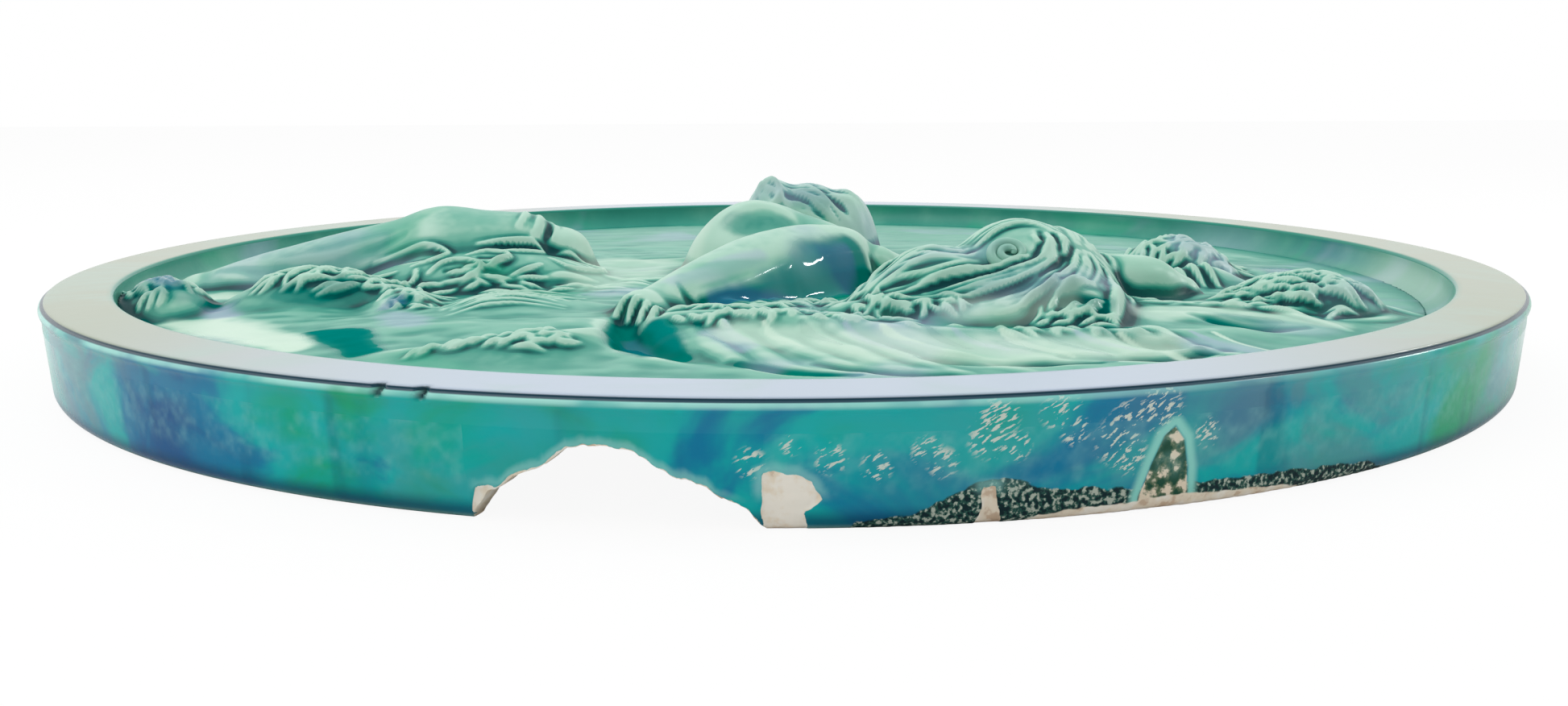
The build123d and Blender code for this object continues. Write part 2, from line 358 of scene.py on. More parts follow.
def lay_foam(clay):
    """Foam heaped against the figures."""
    for row in (
        (167, -82, 26, 17, -25, 31.0, 20, 4, 0.8),
        (-201, -76, 19, 15, -68, 30.0, 20, 4, 0.8),
        (-156, -64, 31, 22, 18, 31.5, 20, 5, 0.9),
        (-107, -28, 50, 25, 12, 34.0, 20, 5, 0.8),
        (-124, -80, 12, 24, 10, 26.5, 20, 5, 1.0),
        (-84, -96, 31, 20, 6, 27.0, 20, 5, 0.9),
    ):
        clay.hill(*row)


def carve_swimmer(clay):
    """Hair, fingers, drapery folds and the creases of the far figure."""
    clay.dent(-10, -12, 16, 9, 8, 2.6)
    clay.ridges([[(9, -60, -0.6, 5), (7, -66, -1.2, 5), (6, -71, -0.8, 4)]], 1.5)
    clay.ridges(strokes(1.1, 3.0, [(-27, -100), (-17, -93), (-8, -85), (1, -75), (5, -69)]))
    clay.ridges(strokes(-1.0, 2.0, [(-33, -98), (-30, -102), (-26, -104)]))
    clay.ridges(comb([(-18, 40), (-6, 33), (8, 30), (26, 28)], [(-4, 57), (12, 53), (28, 46), (42, 38)],
                     19, 2.2, 1.5, 5, 1.2))
    clay.ridges(comb([(-19, 52), (-16, 44), (-10, 38), (-2, 33)],
                     [(-10, 54), (-8, 47), (-3, 42), (4, 38)], 6, 2.0, 1.5, 6, 1.0))
    clay.ridges(strokes(1.8, 1.7, [(-14, 38), (-11, 43), (-5, 44), (-1, 40), (-4, 36), (-8, 36)]))
    clay.ridges(strokes(-1.6, 1.5, [(0, 44), (8, 38), (18, 33)], [(12, 47), (22, 40), (32, 34)],
                        [(-8, 41), (0, 35), (8, 32)]))
    knuckles = [(-48, -113), (-44.5, -116), (-41, -118.5), (-37, -120)]
    finger = [(0, 0, 1.4, 1.9), (-1, -3.5, 2.8, 2.0), (-1.5, -7, 1.6, 1.7)]
    gap = [(1.7, -0.5, -0.6, 0.9), (0.8, -4.5, -1.6, 1.0), (0.3, -8, -0.8, 0.9)]
    clay.ridges(moved(finger, knuckles), 0.8)
    clay.ridges(moved(gap, knuckles))
    folds = [[(-93, 8), (-91, 0), (-90, -10), (-92, -17)], [(-88, 6), (-86, -2), (-85, -10)],
             [(-98, 6), (-96, -4), (-97, -14)]]
    clay.ridges(strokes(1.3, 2.0, *folds))
    clay.ridges(strokes(-2.2, 2.6, [(-87, 2), (-87, -6), (-88, -12)]))
    clay.ridges(strokes(-0.8, 3.5, [(-205, -19), (-186, -24), (-166, -25), (-150, -23), (-138, -20)]))


def carve_sleeper(clay):
    """The long hair: strands from the crown, the locks at the front and the curled ends at the left."""
    sweep_low = [(88, -98), (79, -109), (70, -114), (60, -118), (48, -121), (36, -121)]
    sweep_high = [(83, -97), (75, -106), (66, -107), (57, -108), (46, -110), (34, -112)]
    clay.ridges(comb(sweep_low, sweep_high, 9, 2.2, 1.7, 11, 0.7))
    body_low = [(60, -108), (50, -110), (40, -111), (30, -113), (20, -116)]
    body_high = [(60, -88), (50, -89), (41, -90), (32, -93), (23, -101)]
    clay.ridges(comb(body_low, body_high, 12, 2.0, 1.7, 12, 1.8))
    clay.ridges(comb([(86, -97), (80, -89), (70, -87), (61, -92), (57, -101)],
                     [(90, -84), (79, -78), (66, -78), (55, -84), (48, -93)], 8, 2.0, 1.7, 13, 0.8))
    clay.ridges(comb([(76, -94), (78, -101), (76, -109)], [(86, -88), (86, -99), (80, -110)], 5, 2.0,
                     1.5, 14, 0.5))
    clay.ridges(comb([(90, -96), (84, -110), (76, -121)], [(95, -92), (105, -102), (100, -126)], 13, 2.2,
                     1.6, 15, 0.8))
    clay.ridges(comb([(90, -96), (90, -86), (86, -74), (78, -64)],
                     [(97, -92), (105, -82), (102, -68), (94, -56)], 9, 1.7, 1.8, 16, 1.0))
    clay.ridges(strokes(-1.8, 1.6, [(83, -93), (84, -101), (82, -108), (76, -113)],
                        [(79, -92), (79, -99), (76, -105), (69, -109)],
                        [(62, -92), (56, -97), (50, -99)], [(66, -109), (56, -112), (44, -114)],
                        [(88, -99), (84, -110), (78, -116)]))
    clay.dent(74, -121, 6, 3, 40, 3.0)
    clay.dent(84, -127, 8, 3, 10, 3.0)
    clay.ridges(strokes(3.2, 2.6, [(69, -127), (73, -124), (77, -121), (80, -117)]))
    clay.ridges(strokes(3.0, 2.8, [(79, -124), (84, -121), (90, -119)]))
    clay.ridges(strokes(3.6, 3.0, [(100, -100), (99, -114), (96, -126), (92, -139)]))
    clay.ridges(comb([(84, -104), (74, -114), (64, -120), (52, -124)],
                     [(90, -112), (80, -120), (70, -126), (58, -130)], 7, 1.6, 1.5, 20, 0.8))
    for row in (
        (80, -135, 12, 5, 0, 20, 26, 8, 2.2, 1.4, 17),
        (26, -115, 8, 7, 0, -80, 16, 8, 2.2, 1.4, 18),
        (42, -123, 14, 3, 0, -40, 16, 6, 2.0, 1.3, 19),
    ):
        clay.ridges(tufts(*row))


def carve_foam(clay):
    """Curls, ribbons and combed foam between the figures."""
    loops = [
        [(-147, -27), (-138, -27), (-128, -27), (-121, -29), (-119, -33), (-123, -38), (-130, -40)],
        [(-123, -46), (-119, -41), (-113, -39), (-107, -41), (-105, -45), (-110, -49), (-117, -50)],
        [(-112, -34), (-106, -31), (-99, -31), (-97, -36), (-102, -40), (-108, -39)],
        [(-110, -25), (-99, -21), (-89, -17), (-88, -22), (-95, -27), (-103, -27)],
        [(-85, -16), (-76, -12), (-67, -15), (-66, -24), (-75, -31), (-84, -27)],
    ]
    clay.ridges(strokes(1.8, 1.3, *loops))
    slots = [[(-136, -32), (-129, -33), (-124, -33)], [(-117, -45), (-112, -44)],
             [(-107, -36), (-102, -35)], [(-103, -24), (-94, -22)], [(-80, -22), (-72, -21)]]
    clay.ridges(strokes(-2.6, 1.9, *slots))
    clay.ridges(comb([(-112, -72), (-103, -62), (-90, -59), (-76, -60), (-62, -66)],
                     [(-104, -118), (-97, -110), (-89, -105), (-79, -102), (-64, -106)], 15, 2.1, 1.6,
                     23, 1.6))
    for x, y in ((-112, -88), (-108, -76)):
        clay.dent(x, y, 6, 5, 20, 2.0)
    clay.dent(-121, -90, 5, 10, 10, 1.2)
    finger = [(0, -34, 1.6, 1.5), (1, -40, 2.4, 1.6), (2, -47, 1.0, 1.3)]
    clay.ridges(moved(finger, [(133, 0), (138, 0), (143, 0), (148, 0)]))
    for row in (
        (-153, -66, 24, 14, 15, 65, 60, 13, 2.4, 1.4, 24),
        (-107, -50, 34, 6, 5, 10, 22, 13, 1.8, 1.5, 25),
        (-122, -84, 9, 18, 10, 60, 24, 13, 1.8, 1.6, 35),
        (-203, -76, 17, 12, -68, 100, 46, 10, 2.2, 1.4, 26),
        (168, -88, 22, 12, -20, 150, 60, 13, 2.6, 1.4, 27),
        (146, -12, 22, 14, 8, 40, 44, 11, 1.8, 1.3, 28),
        (-8, -97, 24, 7, 32, 20, 34, 10, 2.0, 1.6, 29),
        (-4, -126, 34, 5, -8, 10, 40, 9, 2.0, 1.5, 30),
        (20, -92, 9, 16, 0, 40, 24, 9, 2.0, 1.5, 31),
        (125, -95, 32, 8, -4, 5, 16, 16, 1.4, 2.2, 32),
        (-68, -36, 24, 16, 0, 5, 12, 18, 0.9, 2.6, 33),
    ):
        clay.ridges(tufts(*row))


def carve_waves(clay):
    """Flutes down the long wave, its curled lip, and the ripples near the rim."""
    flute_left = [(-30, -133), (-26, -148), (-18, -166), (-6, -190)]
    flute_mid = [(24, -148), (32, -160), (46, -174), (66, -190)]
    flute_right = [(110, -142), (118, -150), (128, -158), (144, -164)]
    clay.ridges(comb(flute_left, flute_mid, 6, 1.2, 5.2, 41, 0.8), 1.5)
    clay.ridges(comb(flute_mid, flute_right, 6, 0.8, 6.5, 42, 0.8), 1.5)
    ripples = [[(-14, -171), (0, -182), (16, -188)], [(8, -176), (26, -184), (44, -187)],
               [(36, -172), (56, -177), (80, -174)], [(72, -170), (96, -170), (118, -160)],
               [(120, -120), (134, -128), (152, -124)], [(88, -150), (98, -158), (112, -158)]]
    clay.ridges(strokes(-1.6, 4.0, *ripples), 1.5)
    crests = [[(128, -97), (138, -101), (146, -97), (156, -110), (164, -124)],
              [(96, -138), (102, -148), (108, -158), (120, -164)], [(128, -84), (142, -78), (156, -88)],
              [(178, -70), (192, -78), (200, -92)], [(170, -108), (182, -104), (192, -96)]]
    clay.ridges(strokes(1.2, 3.6, *crests), 1.4)
    for row in (
        (-4, -136, 32, 3.5, -8, -70, 26, 6, 1.5, 1.7, 43),
        (64, -146, 40, 3.5, 0, -60, 16, 7, 1.1, 1.9, 44),
        (-76, -165, 28, 5, 14, 35, 26, 8, 1.6, 1.8, 45),
    ):
        clay.ridges(tufts(*row))


# Runs of each glaze effect, with painted shadow in two teal runs: its strength, then points of x, y and half
# width
STAIN_AND_SHADOW_RUNS = {
    "teal": [
        (0.95, [(-24, -101, 3), (-10, -93, 6), (2, -79, 8), (13, -61, 9), (24, -44, 6)]),
        # Pooled glaze in the wave's hollow and painted shadow of the hand: these two runs darken it right up
        # to the fingertips.
        (1.0, [(-47, -128, 5), (-44, -144, 7), (-39, -160, 7), (-36, -168, 4)]),
        (1.0, [(-38, -134, 5), (-33, -148, 6), (-29, -162, 5)]),
        (1.0, [(-135, -128, 5), (-124, -138, 9), (-115, -155, 8)]),
        (0.5, [(-203, -80, 8), (-196, -82, 7), (-187, -79, 7), (-178, -80, 4)]),
        (0.4, [(-182, -25, 7), (-164, -22, 8), (-147, -20, 7)]),
        (0.5, [(-122, -98, 5), (-121, -86, 6)]),
        (0.5, [(-162, -80, 4), (-150, -80, 5), (-144, -72, 5)]),
        (0.5, [(69, -122, 4), (74, -120, 5), (84, -128, 5), (92, -128, 4)]),
        (0.35, [(66, -112, 3), (56, -117, 3), (46, -119, 3)]),
        (0.5, [(126, -124, 6), (136, -122, 8), (144, -118, 5)]),
        (0.55, [(88, -153, 6), (96, -157, 7), (104, -160, 5)]),
        (0.4, [(70, -142, 4), (84, -145, 4), (96, -142, 4)]),
        (0.9, [(-12, -172, 2.5), (0, -181, 3), (18, -188, 2)]),
        (0.7, [(34, -172, 1.5), (54, -178, 2), (84, -174, 1.5)]),
        (0.4, [(6, 38, 6), (14, 38, 7)]),
        (0.35, [(-20, -9, 4), (-10, -14, 6), (0, -11, 4)]),
        (0.45, [(-200, -98, 5), (-188, -110, 6), (-172, -124, 5), (-154, -137, 4)]),
        (0.3, [(160, 30, 14), (184, 10, 16), (196, -16, 12)]),
    ],
    "blue": [
        (0.65, [(-22, -98, 3), (-10, -90, 5), (3, -75, 6), (14, -59, 6), (22, -47, 3)]),
        (0.35, [(-44, -136, 3), (-40, -150, 4), (-36, -162, 3)]),
        (0.6, [(-204, -74, 6), (-199, -78, 5)]),
        (0.6, [(-124, -96, 3), (-123, -88, 4)]),
        (0.35, [(190, 0, 14), (198, -20, 12)]),
        (0.35, [(52, -152, 7), (60, -162, 8)]),
    ],
    "violet": [
        (0.6, [(-181, -84, 7), (-176, -92, 6)]),
        (0.5, [(-118, -106, 7), (-112, -118, 8), (-108, -130, 7)]),
        (0.5, [(-20, -146, 5), (-12, -160, 6)]),
        (0.4, [(-60, -56, 10), (-52, -50, 8)]),
        (0.4, [(-34, -96, 4), (-22, -88, 4), (-8, -76, 4)]),
        (0.35, [(28, -150, 6), (36, -164, 8)]),
        (0.45, [(110, -156, 6), (124, -158, 8)]),
        (0.4, [(148, -12, 8), (158, -16, 7)]),
    ],
    "pale": [
        (0.3, [(50, -127, 6), (64, -127, 7), (80, -125, 5)]),
        (0.95, [(-188, -98, 7), (-172, -110, 12), (-152, -128, 10), (-136, -147, 6)]),
        (0.8, [(-206, -50, 9), (-196, -44, 9), (-186, -46, 7)]),
        (0.6, [(-14, -146, 9), (10, -158, 14), (40, -164, 14), (74, -162, 12), (100, -158, 8)]),
        (0.5, [(120, 40, 14), (150, 34, 12), (172, 20, 8)]),
        (0.45, [(-60, 30, 22), (-58, 0, 18), (-66, -40, 14)]),
        (0.5, [(-36, -14, 7), (-34, 2, 8), (-28, 14, 7)]),
        (0.5, [(108, -120, 8), (130, -108, 8), (160, -116, 8)]),
    ],
}


def glaze_relief(clay):
    """Where the glaze pooled, ran thin, or took its lustre, and the hand's shadow painted on the wave's
    hollow.
    """
    for name, runs_of_it in STAIN_AND_SHADOW_RUNS.items():
        for strength, points in runs_of_it:
            clay.stain(name, points, strength)


def band_wave(clay):
    """Bands of green, lavender and white that run down the long wave with its flutes."""
    rng = np.random.default_rng(47)
    for k in range(15):
        x = -26 + 10.5 * k + rng.uniform(-2, 2)
        y = float(np.interp(x, [-30, 20, 100, 125], [-134, -146, -149, -140])) - 2
        lean = 0.45 + 0.045 * k
        reach = rng.uniform(12, 20)
        middle = (x + lean * reach * 0.3, y - reach * 0.5, rng.uniform(1.6, 3))
        run = [(x, y, 1.2), middle, (x + lean * reach, y - reach, 1.0)]
        clay.stain(("teal", "violet", "pale")[k % 3], run, (0.45, 0.55, 0.8)[k % 3])


def model_relief():
    clay = Clay(RIM_INNER_RADIUS, GRID_STEP)
    lay_sea(clay)
    clay.ground = clay.z.copy()
    lay_foam(clay)
    lay_swimmer(clay)
    lay_sleeper(clay)
    lay_front_wave(clay)
    clay.z = blurred(clay.z, 1.3 / clay.step)
    carve_swimmer(clay)
    carve_sleeper(clay)
    carve_foam(clay)
    carve_waves(clay)
    clay.z += 0.12 * rough_noise(clay.x, clay.y, 6, 51, 3) * smooth_step(0.3, 2.0, clay.z - clay.ground)
    clay.z = blurred(clay.z, 0.5 / clay.step)
    clay.z = np.maximum(clay.z, SLAB_TOP + 0.1)
    glaze_relief(clay)
    band_wave(clay)
    return clay


# ---------------------------------------------------------------- meshes and their places in the frame
def mesh_piece(name, points, faces, marks):
    """A smooth object from points in mm, with a number for each point under each mark's name."""
    mesh = bpy.data.meshes.new(name)
    mesh.from_pydata((points * MM).tolist(), [], faces)
    mesh.polygons.foreach_set("use_smooth", np.ones(len(faces), bool))
    for label, values in marks.items():
        layer = mesh.attributes.new(label, "FLOAT", "POINT")
        layer.data.foreach_set("value", values.ravel().astype(np.float32))
    piece = bpy.data.objects.new(name, mesh)
    bpy.context.scene.collection.objects.link(piece)
    return piece


def stand_in(piece, node, material):
    """Give a piece its material and let it take the place of a CAD node."""
    piece.data.materials.append(material)
    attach(piece, "root")
    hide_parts(node)


# ---------------------------------------------------------------- cutting the relief into its pieces
def owners_of(clay):
    """For each grid cell, which CAD relief piece lies under it, or -1 outside the field."""
    vertices, faces, owner_of_face = [], [], []
    for k, name in enumerate(RELIEF):
        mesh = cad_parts[name].data
        base = len(vertices)
        vertices += [v.co / MM for v in mesh.vertices]
        mesh.calc_loop_triangles()
        faces += [tuple(base + i for i in t.vertices) for t in mesh.loop_triangles]
        owner_of_face += [k] * len(mesh.loop_triangles)
    tree = BVHTree.FromPolygons(vertices, faces)
    down = Vector((0, 0, -1))
    centres = clay.axis[:-1] + clay.step / 2
    owners = np.full((len(centres), len(centres)), -1)
    for j, y in enumerate(centres):
        reach = sqrt(max(0.0, (FIELD_RADIUS + COVE_OVERLAP) ** 2 - y * y))
        for i in np.nonzero(np.abs(centres) < reach)[0]:
            pull = min(1.0, (FIELD_RADIUS - 0.5) / max(1.0, hypot(centres[i], y)))
            hit = tree.ray_cast(Vector((centres[i] * pull, y * pull, 200)), down)
            if hit[2] is not None:
                owners[j, i] = owner_of_face[hit[2]]
    (left, front, _), (right, rear, _) = box_mm("foam_left")
    x, y = np.meshgrid(centres, centres)
    proud = (clay.z - clay.ground)[:-1, :-1] > 0.3
    near = (x > left - 16) & (x < right) & (y > front - 6) & (y < rear + 12)
    near &= np.hypot(x, y) < RIM_INNER_RADIUS - 1
    owners[(owners < 0) & proud & near] = RELIEF.index("foam_left")
    return owners


def closed_slab(name, clay, normals, inside, attributes):
    """One closed mesh: the relief's surface over the cells inside, upright sides and a flat back."""
    j, i = np.nonzero(inside)
    width = len(clay.axis)
    corners = np.stack([j * width + i, j * width + i + 1, (j + 1) * width + i + 1, (j + 1) * width + i], 1)
    used, local = np.unique(corners, return_inverse=True)
    top = local.reshape(-1, 4)
    count = len(used)
    x, y, z = clay.x.ravel()[used], clay.y.ravel()[used], clay.z.ravel()[used]
    edges = np.concatenate([top[:, [0, 1]], top[:, [1, 2]], top[:, [2, 3]], top[:, [3, 0]]])
    keys = edges[:, 0].astype(np.int64) * count + edges[:, 1]
    back_keys = edges[:, 1].astype(np.int64) * count + edges[:, 0]
    rim = edges[~np.isin(keys, back_keys)]
    sides = np.stack([rim[:, 1], rim[:, 0], rim[:, 0] + count, rim[:, 1] + count], 1)
    quads = np.concatenate([top, sides, top[:, ::-1] + count])
    back = np.full(count, SLAB_TOP - SLAB_OVERLAP)
    points = np.concatenate([np.stack([x, y, z], 1), np.stack([x, y, back], 1)])
    marks = {label: np.concatenate([values.ravel()[used]] * 2) for label, values in attributes.items()}
    piece = mesh_piece(name, points, quads.tolist(), marks)
    mesh = piece.data
    smooth = np.zeros(len(quads), bool)
    smooth[:len(top)] = True
    mesh.polygons.foreach_set("use_smooth", smooth)
    flat = np.zeros((len(mesh.loops), 3), np.float32)
    flat[:len(top) * 4] = normals.reshape(-1, 3)[used][top.ravel()]
    face_normals = np.zeros(len(quads) * 3, np.float32)
    mesh.polygons.foreach_get("normal", face_normals)
    flat[len(top) * 4:] = np.repeat(face_normals.reshape(-1, 3)[len(top):], 4, 0)
    mesh.normals_split_custom_set(flat.tolist())
    return piece


def make_relief(material):
    clay = model_relief()
    gy, gx = np.gradient(clay.z, clay.step)
    normals = np.stack([-gx, -gy, np.ones_like(gx)], -1)
    normals /= np.linalg.norm(normals, axis=-1, keepdims=True)
    fine = blurred(clay.z, 1.2 / clay.step) - clay.z
    hollow = blurred(clay.z, 3.0 / clay.step) - clay.z
    broad = blurred(clay.z, 9.0 / clay.step) - clay.z
    pool = 0.35 + 1.5 * np.clip(fine, -0.3, 0.6) + 0.28 * np.clip(hollow, -0.8, 2) + 0.03 * broad
    pool = np.clip(pool + 0.15 * clay.stains["teal"] - 0.25 * clay.stains["pale"], 0, 1)
    owners = owners_of(clay)
    for k, name in enumerate(RELIEF):
        piece = closed_slab(name + "_relief", clay, normals, owners == k, {"pool": pool, **clay.stains})
        stand_in(piece, name, material)


def make_curl(material):
    """The tight curl at the sleeper's temple, a tapering coil half sunk in the hair."""
    centre, out = np.array([68, -103, 41.0]), np.array([0, -0.75, 0.66])
    across, up = np.array([1.0, 0, 0]), np.array([0, 0.66, 0.75])
    steps, around = 110, 12
    t = np.linspace(0, 1, steps)
    turn = np.radians(-60 - 700 * t)
    reach = 1 - 0.86 * t
    swing = 6.3 * np.cos(turn)[:, None] * across + 5.3 * np.sin(turn)[:, None] * up
    path = centre + reach[:, None] * swing + (1.2 * t)[:, None] * out
    along = np.gradient(path, axis=0)
    along /= np.linalg.norm(along, axis=1, keepdims=True)
    side = np.cross(along, out)
    side /= np.linalg.norm(side, axis=1, keepdims=True)
    tall = np.cross(side, along)
    thick = (1.7 - 0.6 * t) * np.clip(np.minimum(t, 1 - t) * 12 + 0.25, 0, 1)
    angle = np.arange(around) * 2 * pi / around
    ring = side[:, None] * np.cos(angle)[None, :, None] + tall[:, None] * np.sin(angle)[None, :, None]
    points = (path[:, None] + thick[:, None, None] * ring).reshape(-1, 3)
    points = np.concatenate([points, [path[0] - along[0] * 0.4, path[-1] + along[-1] * 0.3]])
    faces = []
    for i in range(steps - 1):
        for j in range(around):
            k = (j + 1) % around
            faces.append((i * around + j, i * around + k, (i + 1) * around + k, (i + 1) * around + j))
    first, last, end = steps * around, steps * around + 1, (steps - 1) * around
    for j in range(around):
        k = (j + 1) % around
        faces += [(first, k, j), (last, end + j, end + k)]
    coil = mesh_piece("hair_curl_coil", points, faces, {"pool": np.full(len(points), 0.12)})
    coil.data.materials.append(material)
    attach(coil, "root")


# ---------------------------------------------------------------- the shell
def lathe(name, bearings, r, z, marks):
    """A closed ring, from its radius and height at each bearing and section point."""
    count, ring = r.shape
    angles = np.radians(bearings)[:, None]
    points = np.stack([r * np.sin(angles), -r * np.cos(angles), z], -1).reshape(-1, 3)
    a = np.arange(count)[:, None] * ring + np.arange(ring)[None]
    b = np.roll(a, -1, 0)
    quads = np.stack([a, b, np.roll(b, -1, 1), np.roll(a, -1, 1)], -1).reshape(-1, 4)
    piece = mesh_piece(name, points, quads.tolist(), marks)
    piece.data.set_sharp_from_angle(angle=radians(SHARP_ANGLE))
    return piece


def turned(section, bearings):
    """One section's radii and heights, repeated at every bearing."""
    return (np.repeat(section[None, :, k], len(bearings), 0) for k in (0, 1))


def ring_bearings(fine, coarse):
    """Bearings round the plaque from -Y towards +X, in degrees, closer together along the chipped front."""
    front = np.arange(-45, 45, fine)
    rest = np.linspace(45, 315, int(270 / coarse), endpoint=False)
    return np.concatenate([front, rest])


def arc(cx, cz, radius, start, stop, count):
    t = np.radians(np.linspace(start, stop, count))
    return [(cx + radius * cos(a), cz + radius * sin(a)) for a in t]


def runs(points, spacing):
    """Section points with long straight runs divided."""
    out = []
    closed = points + points[:1]
    for (x0, z0), (x1, z1) in zip(closed, closed[1:]):
        n = max(1, int(np.hypot(x1 - x0, z1 - z0) / spacing))
        out += [(x0 + (x1 - x0) * k / n, z0 + (z1 - z0) * k / n) for k in range(n)]
    return np.array(out)


# Colour round the outside: bearing in degrees, blue (0) to green (1), and how far it greys to violet
TONES = [(-100, 0.60, 0.5), (-75, 0.75, 0.5), (-62, 0.70, 0.45), (-50, 0.55, 0.75), (-43, 0.45, 0.75),
         (-40, 0.15, 0.15), (-33, 0.35, 0.05), (-26, 0.62, 0.05), (-20, 0.60, 0.25), (-12, 0.52, 0.15),
         (-4, 0.50, 0.05), (3, 0.46, 0.05), (8, 0.36, 0.15), (14, 0.34, 0.2), (20, 0.28, 0.3),
         (25, 0.35, 0.65), (30, 0.50, 0.5), (36, 0.55, 0.55), (43, 0.75, 0.3), (50, 0.55, 0.65),
         (60, 0.80, 0.5), (75, 0.75, 0.5), (100, 0.60, 0.5)]


def tones(bearings, shape):
    """The outside's two colour measures at each bearing, as vertex values."""
    table = np.array(TONES)
    turn = (bearings + 180) % 360 - 180
    return {
        "tone": np.broadcast_to(np.interp(turn, table[:, 0], table[:, 1])[:, None], shape),
        "veil": np.broadcast_to(np.interp(turn, table[:, 0], table[:, 2])[:, None], shape),
    }


# Middles of scuffed places on the wall: bearing in degrees, height in mm, reach in mm
SCRATCHES = [(10.1, 24.0, 4), (9.6, 19.5, 4), (6.6, 17.1, 3), (7.4, 14.6, 3), (13.2, 24.6, 4),
             (11.0, 17.5, 3), (16.9, 21.6, 4), (16.4, 17.3, 5), (18.6, 23.0, 5), (17.0, 13.8, 4),
             (0.1, 19.1, 2), (2.0, 16.0, 3), (-1.8, 15.2, 3), (4.2, 14.2, 3), (21.5, 17.0, 3),
             (14.0, 20.0, 3)]


def scuffing(bearings, heights):
    """How deep inside a scuffed place each point lies: one in its middle, negative outside."""
    deepest = np.full(np.broadcast(bearings, heights).shape, -1.0)
    for bearing, height, reach in SCRATCHES:
        away = np.hypot((bearings - bearing) * DEGREE_MM, heights - height)
        deepest = np.maximum(deepest, 1 - away / reach)
    return deepest


NICKS = [-20.7, -18.2]  # bearings of two small chips in the lip, degrees


def make_rim(material):
    bearings = ring_bearings(0.2, 0.75)
    roll, inner, bead = 1.6, 1.2, 0.6
    band_foot, roll_height, groove = 24.6, 26.7, 248.5
    section = runs(
        [(RIM_INNER_RADIUS, RIM_UNDERSIDE)]
        + [(WALL_TOP_RADIUS, RIM_UNDERSIDE), (WALL_TOP_RADIUS, band_foot)]
        + arc(PLAQUE_RADIUS - roll, roll_height, roll, -50, 62, 10)
        + [(248.6, 28.32), (groove, 28.6)]
        + arc(247.9, RIM_TOP - bead, bead, 20, 90, 4)
        + arc(RIM_INNER_RADIUS + inner, RIM_TOP - inner, inner, 90, 180, 6),
        1.2,
    )
    r, z = turned(section, bearings)
    nick = np.zeros(r.shape)
    outside = smooth_step(247.0, 248.6, r) * smooth_step(25.8, 26.8, z)
    for bearing in NICKS:
        away = (bearings - bearing)[:, None] * DEGREE_MM
        nick = np.maximum(nick, outside * np.exp(-((away / 1.2) ** 2)))
    r = r - 1.3 * nick
    z = z - 0.9 * nick * (z > 27.5)
    inner_side = 1 - smooth_step(229.2, 230.6, r)
    scuffs = np.where(r > 247, scuffing(bearings[:, None], z), -1)
    marks = {"nick": nick, "inner": inner_side, "scuff": scuffs, **tones(bearings, r.shape)}
    piece = lathe("rim_glazed", bearings, r, z, marks)
    stand_in(piece, "rim_band", material)


def make_cove(material):
    bearings = ring_bearings(0.2, 0.75)
    section = runs(
        arc(FIELD_RADIUS, COVE_TOP, COVE_RADIUS, -90, 0, 16)
        + [(RIM_INNER_RADIUS, RIM_UNDERSIDE), (FIELD_RADIUS, SLAB_UNDERSIDE)],
        1.2,
    )[::-1]
    r, z = turned(section, bearings)
    x, y = r * np.sin(np.radians(bearings))[:, None], -r * np.cos(np.radians(bearings))[:, None]
    low = 1 - smooth_step(SLAB_TOP + 0.5, SLAB_TOP + 4, z)
    front_left = smooth_step(0.2, 1, low) * (x < 0) * (y < 60)
    right_end = 0.45 * smooth_step(200, 226, x) * smooth_step(30, -10, y)
    stains = {
        "pool": 0.42 + 0.12 * rough_noise(x, y, 30, 61) - 0.2 * front_left,
        "teal": np.zeros(r.shape),
        "pale": np.maximum(front_left * (0.4 + 0.4 * rough_noise(x, y, 22, 62)), right_end),
        "blue": 0.45 * smooth_step(0.0, 1.0, 1 - np.hypot(x - 208, y - 40) / 45) * (1 - low),
        "violet": 0.5 * smooth_step(0.0, 1.0, 1 - np.hypot(x - 180, y - 95) / 50),
    }
    piece = lathe("cove_glazed", bearings, r, z, stains)
    stand_in(piece, "cove_ring", material)


# Where the piece broke out of the foot: bearing in degrees, height in mm
ARCH_EDGE = [(-16.1, 0), (-15.5, 3.7), (-15.0, 6.7), (-14.5, 7.9), (-13.4, 10.6), (-12.2, 13.4),
             (-10.8, 16.8), (-9.9, 17.8), (-8.9, 18.0), (-8.0, 17.6), (-6.8, 14.8), (-5.1, 11.1),
             (-3.0, 7.1), (-1.8, 4.0), (-1.1, 0)]
# Outlines of bare clay on the wall: bearing in degrees, height in mm
BARE_PATCHES = [[(-1.3, -2), (-1.3, 8), (-1.24, 12.6), (-0.67, 13.5), (0.28, 12.6), (1.05, 10.8),
                 (1.54, 7.4), (1.24, 5.1), (0.78, 4.0), (0.85, -2)],
                 [(9.1, -2), (9.3, 3), (9.5, 8.6), (10.03, 8.5), (10.34, 2.5), (10.5, -2)],
                 [(-15.9, -1), (-15.8, 5), (-15.5, 7.6), (-14.9, 7.9), (-14.4, 7.6), (-15.2, 2.0),
                  (-15.6, -1)]]
# Outline of a place that the glaze missed, in the same measures
GLAZE_MISS = [(17.6, -2), (17.75, 3.8), (18.35, 11.3), (18.97, 17.3), (19.55, 19.2), (20.16, 16),
              (20.49, 9.5), (20.57, 3.7), (20.6, -2)]
